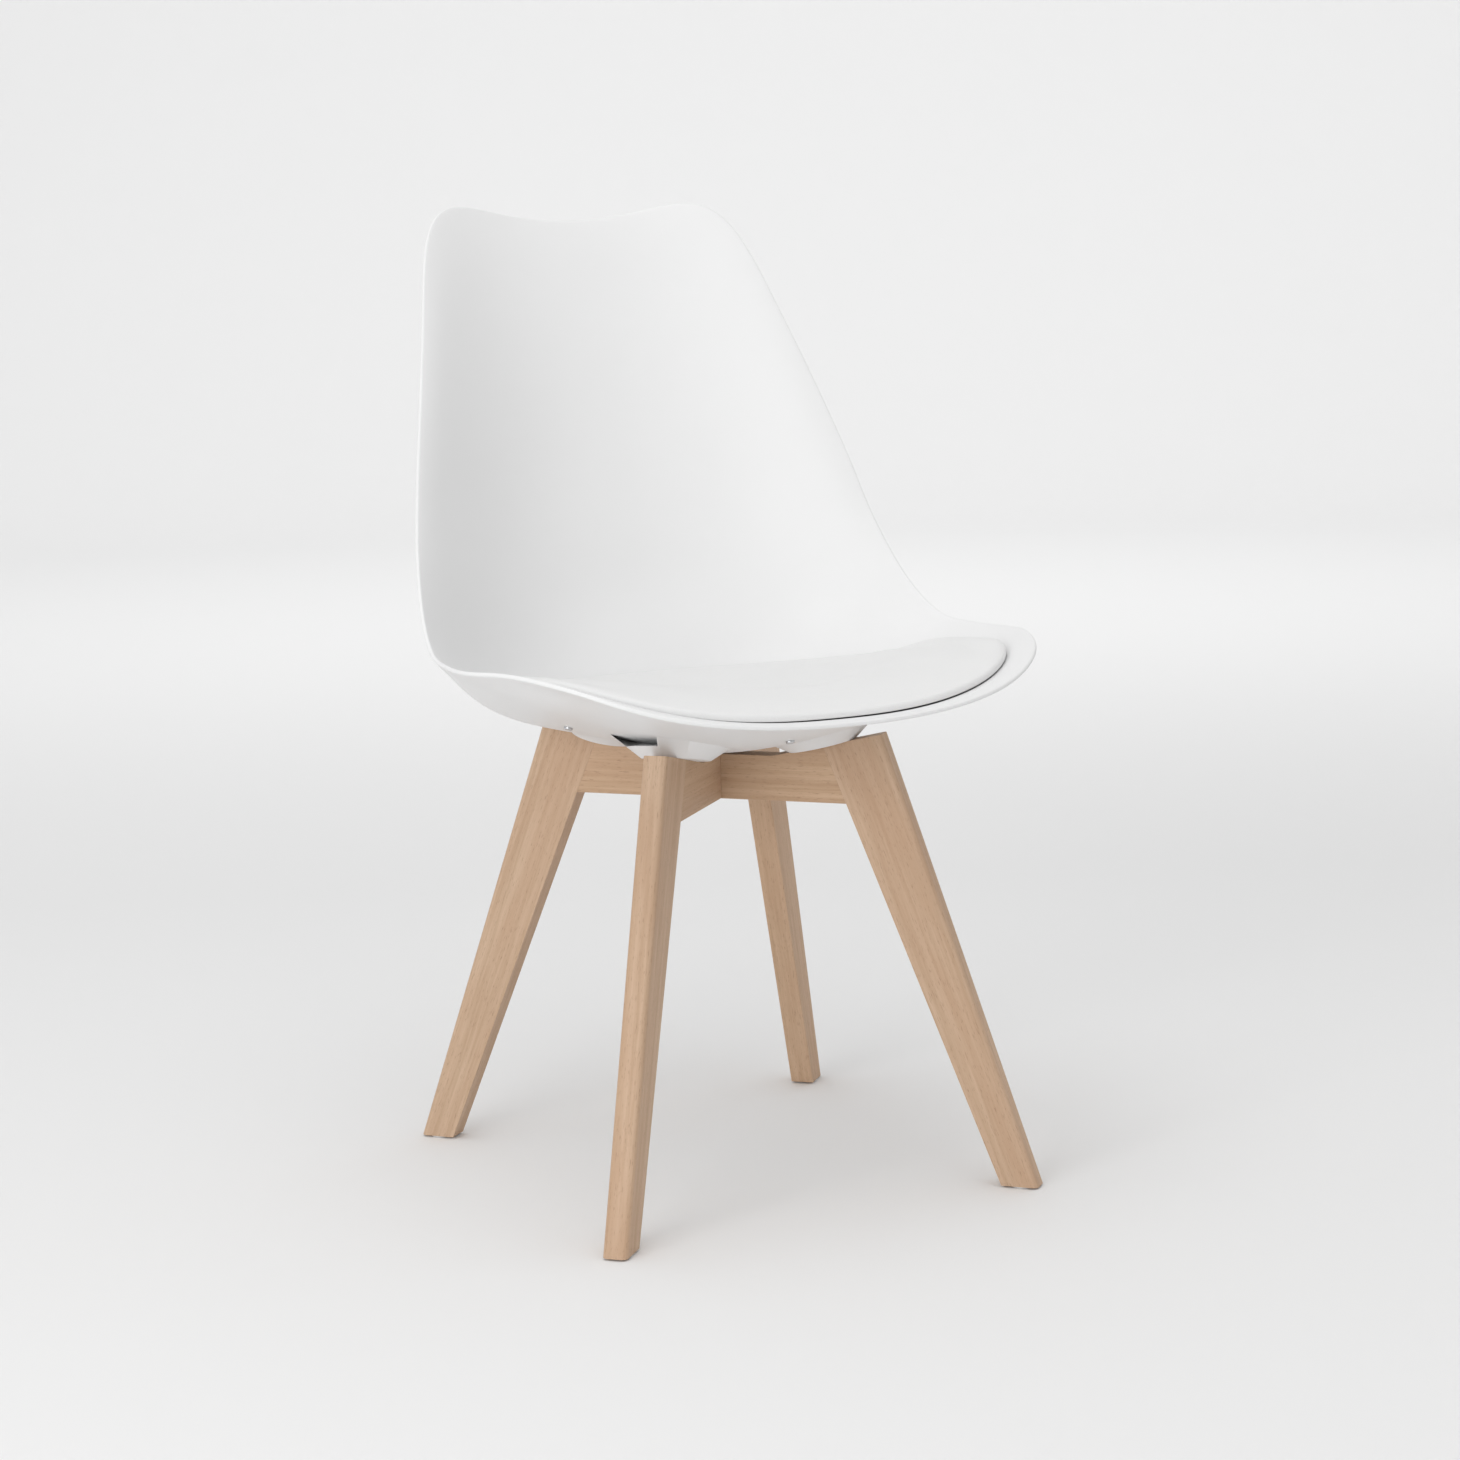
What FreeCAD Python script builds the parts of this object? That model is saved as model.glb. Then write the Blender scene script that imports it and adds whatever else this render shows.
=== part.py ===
# Dining chair: a moulded plastic bucket seat with a fitted seat pad, bolted to a cross of two
# half-lapped wooden rails that carries four splayed wooden legs.
# Millimetres, +Z up. The sitter faces -Y and the sitter's left is +X. The chair is laid out from
# the crossing of the two rails and, when it is saved, moved along Y so that the origin is on the
# floor under the middle of its overall length and width.
import FreeCAD, Part
import math
import os

os.makedirs("parts", exist_ok=True)
Vec = FreeCAD.Vector

# ---------------------------------------------------------------- driving dimensions
# seat shell
seat_pan_height = 366.5        # inner face at the lowest point of the pan
seat_half_width = 257.0        # widest point of the rim
back_height = 449.5            # middle of the top edge above the pan
shell_front_y = -253.0         # middle of the front edge
shell_top_y = 278.0            # middle of the top edge
shell_wall = 4.0
edge_flare = 0.16              # how far the last stretch to the rim turns outwards
flare_sharpness = 8.0
dish_rounding = 0.25           # how softly the even slope of the pan begins
lip_start = 0.88               # share of the outline where the lip begins to turn down
lip_depth = 3.5
front_corner_fullness = 4.3    # 2 is an ellipse, larger is squarer
top_corner_fullness = 5.4
bowl_centre = 0.36             # place of the pan's middle along the shell, 0 front to 1 top

# seat pad
pad_front_gap = 0.062          # share of the shell's length left bare in front of the pad
pad_rear_reach = 0.50          # share of the shell's length where the pad ends at the back
pad_side_reach = 0.885         # share of the half width that the pad covers
pad_corner_fullness = 3.4
pad_rise_middle = 38.0         # top of the pad above the shell
pad_rise_edge = 8.0
pad_crown_power = 3.0
pad_half_span = 215.0          # rough half width, turns an inset into a share of the pad
board_thickness = 4.0
board_inset = 6.0
foam_inset = 1.6
cover_thickness = 1.0
pad_gap = 2.0                  # between the shell and what lies on it
layer_gap = 0.3                # between the layers of the pad
skin_gap = 0.15                # between small parts and what they sit in

# leg frame
leg_angle = 43.25              # from the front-to-back line
leg_thickness = 21.0
foot_outer_radius = 286.5
foot_width = 31.5
joint_inner_radius = 123.4     # inner corner between leg and rail
joint_width = 52.0             # leg width at the level of the rail's lower edge
rail_height = 38.6
rail_clearance = 2.0           # rail under the lowest point of the shell
seat_slope = 12.5              # degrees, slope of the leg tops that carry the shell
slope_start_radius = 58.0
leg_outer_round = 5.0
rail_round = 1.2
glue_gap = 0.1
lap_gap = 0.15

# dowels in the joints of legs and rails
dowel_diameter = 8.0
dowel_in_leg = 16.0
dowel_in_rail = 14.0
dowel_low_inset = 12.0         # lower dowel above the rail's lower edge
dowel_high_inset = 7.6         # upper dowel below the rail's upper edge
dowel_end_gap = 1.0
dowel_side_gap = 0.1

# bosses and bolts under the shell
boss_radius = 100.0            # from the chair's axis
boss_foot_radius = 26.0
boss_draft = 1.4               # widening of a boss for each millimetre of its height
boss_height = 24.0             # before the wall cuts it off
bolt_radius = 86.0
bolt_diameter = 6.0
bolt_hole_gap = 0.4
bolt_head_diameter = 10.0
bolt_head_height = 6.0
bolt_socket_flats = 5.0
bolt_socket_depth = 3.2
bolt_end_room = 0.5            # bolt's end below the face of its nut
counterbore_depth = 9.0
counterbore_room = 1.0         # round the washer
washer_diameter = 13.0
washer_thickness = 1.6
spring_washer_diameter = 11.0
spring_washer_thickness = 1.5
spring_washer_slit = 1.2
nut_flange_diameter = 17.0
nut_flange_thickness = 1.2
nut_wall = 1.0                 # of the barrel, round the bolt
nut_barrel_length = 9.0
nut_post_radius = 10.5
nut_post_height = 10.0         # above the boss foot
nut_clear_room = 2.5           # round a nut's post, in the pad board
nut_clear_height = 30.0
seat_touch_gap = 0.1

# screws that hold the pad, from under the shell
pad_screw_places = ((0.20, 0.0), (0.47, 0.0), (0.34, 0.55), (0.34, -0.55))
pad_screw_diameter = 3.5
pad_screw_head_diameter = 7.5
pad_screw_head_height = 2.2
pad_screw_bite = 3.2
screw_gap = 0.15
cut_past = 5.0                 # how far a cutter runs past the face it opens

# screw through the crossing of the rails
lap_screw_diameter = 4.0
lap_screw_head_diameter = 8.0
lap_screw_head_height = 3.0
lap_screw_end_cover = 8.0      # wood left above the screw's tip

# glides
glide_thickness = 1.6
glide_diameter = 19.0
glide_nail_diameter = 2.6
glide_nail_length = 13.0

# ---------------------------------------------------------------- derived sizes
rail_top = seat_pan_height - shell_wall - rail_clearance
rail_bottom = rail_top - rail_height
slope = math.tan(math.radians(seat_slope))
slope_sin = math.sin(math.radians(seat_slope))
slope_cos = math.cos(math.radians(seat_slope))
leg_bottom = glide_thickness
counterbore_radius = washer_diameter / 2 + counterbore_room
nut_barrel_radius = bolt_diameter / 2 + nut_wall
nut_clear_radius = nut_post_radius + nut_clear_room

LEGS = {
    "front_left": leg_angle - 90.0,
    "front_right": -90.0 - leg_angle,
    "rear_left": 90.0 - leg_angle,
    "rear_right": 90.0 + leg_angle,
}


# ---------------------------------------------------------------- seat shell surface
# One station is a line across the shell from its middle to its side: the middle's y and height
# above the pan, the side's distance inside the widest point, y and height, how suddenly the
# section turns up, and how much of its rise is an even slope. Heights from the back upwards are
# shares of the back's height.
def back(share):
    return share * back_height


STATIONS = (
    # mid y,               mid rise,    tuck, side y,  side rise,   turn-up, sloped
    (shell_front_y,        55.0,        30.0, -227.0,  88.0,        2.25,    0.00),
    (shell_front_y + 30.5, 49.0,        23.5, -184.0,  103.5,       3.0,     0.09),
    (-172.0,               34.5,        14.0, -129.0,  104.5,       4.3,     0.47),
    (-100.0,               14.5,         5.0,  -73.0,  97.0,        5.9,     0.74),
    (-10.0,                0.0,         11.5,  -18.5,  94.0,        6.5,     0.75),
    (80.0,                 7.5,         19.5,   27.5,  97.5,        5.7,     0.35),
    (146.0,                41.5,        28.0,   69.5,  back(0.278), 3.9,     0.00),
    (188.0,                back(0.230), 38.5,  107.0,  back(0.393), 2.6,     0.00),
    (211.0,                back(0.408), 50.5,  133.0,  back(0.523), 2.4,     0.00),
    (231.0,                back(0.586), 66.0,  163.5,  back(0.671), 2.2,     0.00),
    (shell_top_y - 30.0,   back(0.754), 81.5,  199.0,  back(0.828), 2.2,     0.00),
    (shell_top_y - 14.0,   back(0.887), 91.0,  233.0,  back(0.977), 2.2,     0.00),
    (shell_top_y,          back(1.000), 98.0,  258.5,  back(1.099), 2.2,     0.00),
)


def station_at(along):
    """Catmull-Rom blend of the stations, along = 0 at the front edge and 1 at the top."""
    last = len(STATIONS) - 1
    place = min(max(along, 0.0), 1.0) * last
    i = min(int(place), last - 1)
    t = place - i
    b = STATIONS[i]
    c = STATIONS[i + 1]
    a = STATIONS[i - 1] if i > 0 else tuple(2 * p - q for p, q in zip(b, c))
    d = STATIONS[i + 2] if i + 2 <= last else tuple(2 * q - p for p, q in zip(b, c))
    return tuple(
        0.5 * (2 * q + (r - p) * t + (2 * p - 5 * q + 4 * r - s) * t**2 + (3 * q - p - 3 * r + s) * t**3)
        for p, q, r, s in zip(a, b, c, d)
    )


def shell_point(along, across):
    """Point on the shell's inner face. across runs from -1 at one side to 1 at the other."""
    mid_y, mid_rise, tuck, side_y, side_rise, power, sloped = station_at(along)
    even = math.hypot(across, dish_rounding) - dish_rounding
    even /= math.hypot(1, dish_rounding) - dish_rounding
    turned_up = abs(across) ** power
    turned_up *= (1 + edge_flare) / (1 + edge_flare * abs(across) ** flare_sharpness)
    bend = sloped * even + (1 - sloped) * turned_up
    return Vec(
        (seat_half_width - tuck) * across,
        mid_y + (side_y - mid_y) * bend,
        seat_pan_height + mid_rise + (side_rise - mid_rise) * bend,
    )


def shell_normal(along, across):
    """Unit normal of the inner face, towards the sitter."""
    step = 0.004
    low, high = max(along - step, 0.0), min(along + step, 1.0)
    lengthwise = shell_point(high, across) - shell_point(low, across)
    crosswise = shell_point(along, across + step) - shell_point(along, across - step)
    return crosswise.cross(lengthwise).normalize()


def shell_offset(along, across, height):
    return shell_point(along, across) + shell_normal(along, across) * height


def lip(share):
    """How far the rim has turned down from the sitter at a share of the outline."""
    return lip_depth * max((share - lip_start) / (1 - lip_start), 0.0) ** 2


def rounded_outline(angle, share, front_power, rear_power):
    """Unit outline (forward-back, sideways): an ellipse in the middle, full corners at the edge."""
    side, front = math.cos(angle), math.sin(angle)
    power = 2 + ((front_power if front < 0 else rear_power) - 2) * share
    reach = (abs(side) ** power + abs(front) ** power) ** (-1 / power)
    return reach * front, reach * side


def rim_place(angle, share):
    lengthwise, sideways = rounded_outline(angle, share, front_corner_fullness, top_corner_fullness)
    edge = 0.5 + 0.5 * lengthwise
    return bowl_centre + (edge - bowl_centre) * share, sideways * share


def pad_place(angle, share):
    lengthwise, sideways = rounded_outline(angle, share, pad_corner_fullness, pad_corner_fullness)
    middle = (pad_front_gap + pad_rear_reach) / 2
    half = (pad_rear_reach - pad_front_gap) / 2
    return middle + half * lengthwise * share, pad_side_reach * sideways * share


def ring(place, share, height, points=48):
    """Closed smooth wire at a share of an outline, at a height above the shell's inner face."""
    spots = []
    for k in range(points):
        along, across = place(2 * math.pi * k / points, share)
        spots.append(shell_offset(along, across, height))
    curve = Part.BSplineCurve()
    curve.interpolate(Points=spots, PeriodicFlag=True)
    return Part.Wire(curve.toShape())


def sheet(place, shares, height_at, top_share=1.0):
    """Surface from the middle out to the last share, as a smooth loft through rings."""
    middle = Part.Vertex(shell_offset(*place(0.0, 0.0), height_at(0.0)))
    rings = [ring(place, share * top_share, height_at(share)) for share in shares]
    return Part.makeLoft([middle] + rings, False, False), rings[-1]


def closed_solid(faces):
    shell = Part.Shell(faces)
    shell.sewShape()
    solid = Part.Solid(shell)
    if solid.Volume < 0:
        solid.reverse()
    return solid


def between(place, shares, lower_at, upper_at, edge_share=1.0):
    """Closed solid between two height laws over the same outline."""
    lower, lower_rim = sheet(place, shares, lower_at, edge_share)
    upper, upper_rim = sheet(place, shares, upper_at, edge_share)
    wall = Part.makeLoft([lower_rim, upper_rim], False, True)
    return closed_solid(lower.Faces + upper.Faces + wall.Faces)


def cylinder_along(start, axis, radius, length):
    return Part.makeCylinder(radius, length, start, axis)


# ---------------------------------------------------------------- leg plane helpers
# Legs, bolts and bosses are laid out in a plane that stands on the leg's direction:
# x is the distance from the chair's axis, z the height, y goes through the leg's thickness.
def turned(shape, leg):
    copy = shape.copy()
    copy.rotate(Vec(0, 0, 0), Vec(0, 0, 1), LEGS[leg])
    return copy


def leg_inner_radius(z):
    share = (z - leg_bottom) / (rail_bottom - leg_bottom)
    foot_inner = foot_outer_radius - foot_width
    return foot_inner + (joint_inner_radius - foot_inner) * share


def leg_outer_radius(z):
    share = (z - leg_bottom) / (rail_bottom - leg_bottom)
    joint_outer = joint_inner_radius + joint_width
    return foot_outer_radius + (joint_outer - foot_outer_radius) * share


def frame_top(radius):
    return rail_top + slope * max(radius - slope_start_radius, 0.0)


def meets_frame_top(edge):
    """Where a leg edge, given as radius by height, runs into the sloping top."""
    low, high = rail_top, rail_top + rail_height
    for _ in range(40):
        z = (low + high) / 2
        if z < frame_top(edge(z)):
            low = z
        else:
            high = z
    return edge(low), low


def plate(outline, thickness):
    wire = Part.makePolygon([Vec(x, -thickness / 2, z) for x, z in outline + [outline[0]]])
    return Part.Face(wire).extrude(Vec(0, thickness, 0))


def seat_axis_point(radius, height):
    """Point at a height over the sloping leg tops, on the line square to them at that radius."""
    return Vec(radius - slope_sin * height, 0, frame_top(radius) + slope_cos * height)


seat_up = Vec(-slope_sin, 0, slope_cos)


def bolt_hole():
    """Clearance for a frame bolt through the rail, with the counterbore for its head."""
    reach = (frame_top(bolt_radius) - rail_bottom) / slope_cos
    low = seat_axis_point(bolt_radius, -reach - cut_past)
    hole = cylinder_along(low, seat_up, bolt_diameter / 2 + bolt_hole_gap, reach + 2 * cut_past)
    bore = cylinder_along(low, seat_up, counterbore_radius, cut_past + counterbore_depth)
    return hole.fuse(bore)


def dowel_lines():
    """Middle point on the seam and direction into the leg of each dowel of a joint."""
    top = leg_inner_radius(rail_top)
    seam = Vec(top - joint_inner_radius, 0, rail_top - rail_bottom).normalize()
    into_leg = Vec(seam.z, 0, -seam.x)
    lines = []
    for z in (rail_bottom + dowel_low_inset, rail_top - dowel_high_inset):
        lines.append((Vec(leg_inner_radius(z), 0, z), into_leg))
    return lines


def dowel(point, into_leg, end_room, side_room):
    start = point - into_leg * (dowel_in_rail - end_room)
    length = dowel_in_rail + dowel_in_leg - 2 * end_room
    return cylinder_along(start, into_leg, dowel_diameter / 2 - side_room, length)


def dowel_holes():
    holes = [dowel(p, d, 0.0, 0.0) for p, d in dowel_lines()]
    return holes[0].multiFuse(holes[1:])


# ---------------------------------------------------------------- wooden frame
def round_long_edges(solid, radius, chosen):
    edges = [e for e in solid.Edges if chosen(e)]
    return solid.makeFillet(radius, edges)


def leg():
    outer_top = meets_frame_top(leg_outer_radius)
    inner_top = meets_frame_top(leg_inner_radius)
    solid = plate(
        [
            (leg_inner_radius(leg_bottom), leg_bottom),
            (leg_outer_radius(leg_bottom), leg_bottom),
            outer_top,
            inner_top,
        ],
        leg_thickness,
    )
    middle = (foot_outer_radius + joint_inner_radius) / 2

    def runs_down(edge):
        ends = [v.Point for v in edge.Vertexes]
        return abs(ends[0].z - ends[1].z) > rail_bottom / 2

    def is_outer(edge):
        return runs_down(edge) and edge.CenterOfMass.x > middle

    solid = round_long_edges(solid, leg_outer_round, is_outer)
    glide_pin = cylinder_along(foot_centre(), Vec(0, 0, 1), glide_nail_diameter / 2, glide_nail_length)
    return solid.cut(dowel_holes()).cut(glide_pin)


def foot_centre():
    return Vec((leg_inner_radius(leg_bottom) + leg_outer_radius(leg_bottom)) / 2, 0, leg_bottom)


def rail(other_angle, notch_below):
    """Rail from one leg to the one opposite, halved where the other rail crosses it."""
    end_top = meets_frame_top(leg_inner_radius)
    half = [
        (joint_inner_radius - glue_gap, rail_bottom),
        (end_top[0] - glue_gap, end_top[1]),
        (slope_start_radius, rail_top),
    ]
    outline = half + [(-x, z) for x, z in reversed(half)]
    solid = plate(outline, leg_thickness)

    def is_lower(edge):
        ends = [v.Point for v in edge.Vertexes]
        return all(abs(p.z - rail_bottom) < 0.01 for p in ends) and edge.Length > 2 * leg_thickness

    solid = round_long_edges(solid, rail_round, is_lower)
    lap_middle = (rail_bottom + rail_top) / 2
    width = leg_thickness + 2 * lap_gap
    floor = rail_bottom - cut_past if notch_below else lap_middle - lap_gap / 2
    notch = Part.makeBox(
        4 * leg_thickness, width, rail_height / 2 + cut_past + lap_gap / 2,
        Vec(-2 * leg_thickness, -width / 2, floor),
    )
    notch.rotate(Vec(0, 0, 0), Vec(0, 0, 1), other_angle)
    solid = solid.cut(notch)
    for half_turn in (0.0, 180.0):
        for cutter in (bolt_hole(), dowel_holes()):
            cutter.rotate(Vec(0, 0, 0), Vec(0, 0, 1), half_turn)
            solid = solid.cut(cutter)
    return solid.cut(lap_screw(screw_gap))


def lap_screw(room=0.0):
    """Countersunk screw up through the crossing, from under the lower rail."""
    head = Part.makeCone(
        lap_screw_head_diameter / 2 + room,
        lap_screw_diameter / 2 + room,
        lap_screw_head_height,
        Vec(0, 0, rail_bottom - room),
    )
    length = rail_height - lap_screw_end_cover
    shank = Part.makeCylinder(lap_screw_diameter / 2 + room, length + room, Vec(0, 0, rail_bottom))
    return head.fuse(shank)


def glide():
    centre = foot_centre()
    disc = Part.makeCylinder(glide_diameter / 2, glide_thickness, Vec(centre.x, 0, 0))
    disc = disc.makeFillet(glide_thickness / 3, [e for e in disc.Edges if e.CenterOfMass.z < 0.01])
    nail = cylinder_along(
        centre - Vec(0, 0, glide_thickness / 2),
        Vec(0, 0, 1),
        glide_nail_diameter / 2 - skin_gap,
        glide_nail_length + glide_thickness / 2 - dowel_end_gap,
    )
    return disc.fuse(nail).removeSplitter()


# ---------------------------------------------------------------- frame hardware
def bolt_head_seat():
    """Height over the leg top, along the bolt, of the counterbore's floor."""
    reach = (frame_top(bolt_radius) - rail_bottom) / slope_cos
    return counterbore_depth - reach


def washer():
    base = seat_axis_point(bolt_radius, bolt_head_seat() - washer_thickness)
    disc = cylinder_along(base, seat_up, washer_diameter / 2, washer_thickness)
    hole = cylinder_along(base, seat_up, bolt_diameter / 2 + bolt_hole_gap, washer_thickness)
    return disc.cut(hole)


def spring_washer():
    height = bolt_head_seat() - washer_thickness - spring_washer_thickness
    base = seat_axis_point(bolt_radius, height)
    disc = cylinder_along(base, seat_up, spring_washer_diameter / 2, spring_washer_thickness)
    hole = cylinder_along(base, seat_up, bolt_diameter / 2 + bolt_hole_gap, spring_washer_thickness)
    slit = Part.makeBox(
        spring_washer_diameter, spring_washer_slit, 4 * spring_washer_thickness,
        Vec(base.x, -spring_washer_slit / 2, base.z - 2 * spring_washer_thickness),
    )
    return disc.cut(hole).cut(slit)


def bolt():
    underside = bolt_head_seat() - washer_thickness - spring_washer_thickness
    head_base = seat_axis_point(bolt_radius, underside - bolt_head_height)
    head = cylinder_along(head_base, seat_up, bolt_head_diameter / 2, bolt_head_height)
    corners = []
    for k in range(6):
        turn = math.radians(60 * k)
        reach = bolt_socket_flats / math.sqrt(3)
        corners.append(Vec(reach * math.cos(turn), reach * math.sin(turn), 0))
    socket = Part.Face(Part.makePolygon(corners + [corners[0]])).extrude(Vec(0, 0, bolt_socket_depth))
    socket.rotate(Vec(0, 0, 0), Vec(0, 1, 0), -seat_slope)
    socket.translate(head_base)
    shank_top = nut_post_height + nut_flange_thickness - bolt_end_room
    shank = cylinder_along(
        seat_axis_point(bolt_radius, underside), seat_up, bolt_diameter / 2, shank_top - underside
    )
    return head.cut(socket).fuse(shank)


def flanged_nut():
    """Flanged sleeve nut dropped in from the inner face, its thread open for the bolt."""
    base = seat_axis_point(bolt_radius, nut_post_height + skin_gap)
    flange = cylinder_along(base, seat_up, nut_flange_diameter / 2, nut_flange_thickness)
    barrel = cylinder_along(base, seat_up * -1, nut_barrel_radius, nut_barrel_length)
    thread = cylinder_along(
        seat_axis_point(bolt_radius, 0.0), seat_up, bolt_diameter / 2 + skin_gap,
        nut_post_height + cut_past,
    )
    return flange.fuse(barrel).cut(thread)


# ---------------------------------------------------------------- seat shell
def boss():
    """Drafted boss under the pan, and the small post that carries a nut inside the shell."""
    foot = seat_axis_point(boss_radius, seat_touch_gap)
    wide = boss_foot_radius + boss_draft * boss_height
    cone = Part.makeCone(boss_foot_radius, wide, boss_height, foot, seat_up)
    post = cylinder_along(
        seat_axis_point(bolt_radius, seat_touch_gap), seat_up, nut_post_radius,
        nut_post_height - seat_touch_gap,
    )
    return cone, post


def nut_hole():
    """Bore for a nut's barrel through boss and wall, and a flat seat for its flange."""
    bore = cylinder_along(
        seat_axis_point(bolt_radius, -cut_past), seat_up, nut_barrel_radius + skin_gap,
        nut_post_height + 2 * cut_past,
    )
    seat = cylinder_along(
        seat_axis_point(bolt_radius, nut_post_height), seat_up, nut_post_radius, boss_height
    )
    return bore.fuse(seat)


SHELL_SHARES = (0.12, 0.25, 0.37, 0.48, 0.58, 0.67, 0.75, 0.82, 0.88, 0.92, 0.96, 1.0)
room_height = 120.0            # over the shell, more than a boss or post reaches


def seat_shell():
    skin = between(rim_place, SHELL_SHARES, lambda s: -shell_wall - lip(s), lambda s: -lip(s))
    room_above = between(rim_place, SHELL_SHARES[:7], lambda s: -shell_wall / 2, lambda s: room_height)
    for name in LEGS:
        cone, post = boss()
        cone = turned(cone, name).cut(room_above)
        skin = skin.fuse(cone).fuse(turned(post, name))
    for name in LEGS:
        skin = skin.cut(turned(nut_hole(), name))
    for along, across in pad_screw_places:
        skin = skin.cut(pad_screw_hole(along, across))
    return skin


def pad_screw_hole(along, across):
    return cylinder_along(
        shell_offset(along, across, -shell_wall - cut_past), shell_normal(along, across),
        pad_screw_diameter / 2 + screw_gap,
        shell_wall + cut_past + pad_gap + pad_screw_bite + screw_gap,
    )


def pad_screw(along, across):
    up = shell_normal(along, across)
    under = shell_offset(along, across, -shell_wall - screw_gap)
    head = cylinder_along(under, up * -1, pad_screw_head_diameter / 2, pad_screw_head_height)
    head = head.makeFillet(
        pad_screw_head_height / 2,
        [e for e in head.Edges if (e.CenterOfMass - under).Length > pad_screw_head_height / 2],
    )
    length = screw_gap + shell_wall + pad_gap + pad_screw_bite
    return head.fuse(cylinder_along(under, up, pad_screw_diameter / 2, length))


# ---------------------------------------------------------------- seat pad
PAD_SHARES = (0.15, 0.3, 0.44, 0.57, 0.69, 0.8, 0.89, 0.95, 1.0)


def pad_share(inset):
    return 1.0 - inset / pad_half_span


def pad_top(share):
    return pad_rise_edge + (pad_rise_middle - pad_rise_edge) * (1 - min(share, 1.0) ** pad_crown_power)


def pad_board():
    board = between(
        pad_place, PAD_SHARES, lambda s: pad_gap, lambda s: pad_gap + board_thickness,
        pad_share(board_inset),
    )
    hole = cylinder_along(seat_axis_point(bolt_radius, 0.0), seat_up, nut_clear_radius, nut_clear_height)
    for name in LEGS:
        board = board.cut(turned(hole, name))
    for along, across in pad_screw_places:
        board = board.cut(pad_screw_hole(along, across))
    return board


def pad_foam():
    floor = pad_gap + board_thickness + layer_gap
    return between(
        pad_place, PAD_SHARES, lambda s: floor, lambda s: pad_top(s) - cover_thickness - layer_gap,
        pad_share(foam_inset),
    )


def pad_cover():
    """Skin over the top and round the edge of the pad, open underneath."""
    inner_share = pad_share(cover_thickness)
    outer, outer_rim = sheet(pad_place, PAD_SHARES, pad_top)
    inner, inner_rim = sheet(pad_place, PAD_SHARES, lambda s: pad_top(s) - cover_thickness, inner_share)
    outer_hem = ring(pad_place, 1.0, pad_gap)
    inner_hem = ring(pad_place, inner_share, pad_gap)
    faces = outer.Faces + inner.Faces
    for low, high in ((outer_hem, outer_rim), (inner_hem, inner_rim), (outer_hem, inner_hem)):
        faces += Part.makeLoft([low, high], False, True).Faces
    return closed_solid(faces)


# ---------------------------------------------------------------- export
def group(shapes):
    return Part.makeCompound(shapes)


def save(shape, name, centring):
    placed = shape.copy()
    placed.translate(centring)
    for solid in placed.Solids:
        print(name, "valid" if solid.isValid() else "NOT VALID", round(solid.Volume, 1))
    placed.exportStep("parts/" + name + ".step")


def main():
    shell = seat_shell()
    lower = rail(LEGS["front_right"] - LEGS["front_left"], notch_below=False)
    upper = rail(LEGS["front_left"] - LEGS["front_right"], notch_below=True)
    pieces = {
        "seat_shell": shell,
        "pad_board": pad_board(),
        "pad_foam": pad_foam(),
        "pad_cover": pad_cover(),
        "pad_screws": group([pad_screw(*place) for place in pad_screw_places]),
        "flanged_nuts": group([turned(flanged_nut(), name) for name in LEGS]),
        "rail_front_left_to_rear_right": turned(lower, "front_left"),
        "rail_front_right_to_rear_left": turned(upper, "front_right"),
        "rail_crossing_screw": lap_screw(),
        "frame_bolts": group([turned(bolt(), name) for name in LEGS]),
        "frame_washers": group([turned(washer(), name) for name in LEGS]),
        "frame_spring_washers": group([turned(spring_washer(), name) for name in LEGS]),
    }
    for name in LEGS:
        dowels = [dowel(p, d, dowel_end_gap, dowel_side_gap) for p, d in dowel_lines()]
        pieces[name + "_leg"] = turned(leg(), name)
        pieces[name + "_leg_dowels"] = turned(group(dowels), name)
        pieces[name + "_glide"] = turned(glide(), name)
    box = shell.optimalBoundingBox()
    centring = Vec(0, -(box.YMin + box.YMax) / 2, 0)
    for name, shape in pieces.items():
        save(shape, name, centring)


main()
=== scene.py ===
import math

import bmesh
import bpy
from mathutils import Matrix, Vector
from mathutils.bvhtree import BVHTree


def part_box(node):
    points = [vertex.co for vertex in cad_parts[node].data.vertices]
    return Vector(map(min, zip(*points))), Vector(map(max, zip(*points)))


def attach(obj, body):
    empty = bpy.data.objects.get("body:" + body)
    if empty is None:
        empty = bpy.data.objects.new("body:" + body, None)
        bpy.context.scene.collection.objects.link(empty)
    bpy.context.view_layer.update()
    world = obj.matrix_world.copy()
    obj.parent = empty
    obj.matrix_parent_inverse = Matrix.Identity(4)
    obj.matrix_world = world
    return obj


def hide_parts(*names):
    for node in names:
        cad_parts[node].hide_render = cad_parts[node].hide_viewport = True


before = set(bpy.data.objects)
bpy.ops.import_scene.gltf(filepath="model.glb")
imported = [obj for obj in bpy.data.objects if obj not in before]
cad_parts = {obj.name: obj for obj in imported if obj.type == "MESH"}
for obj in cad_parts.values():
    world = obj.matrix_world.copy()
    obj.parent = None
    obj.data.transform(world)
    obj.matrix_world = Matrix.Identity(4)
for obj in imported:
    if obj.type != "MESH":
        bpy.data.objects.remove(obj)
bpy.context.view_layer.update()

# The room. A pale round floor that turns up into a wall far away, soft light from the side and
# above, a third panel that lights the wall, and an even sky. The camera is a little above seat
# height, to the chair's right.
crossing_low, crossing_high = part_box("rail_crossing_screw")
crossing = (crossing_low + crossing_high) / 2
crossing.z = 0.0


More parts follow.
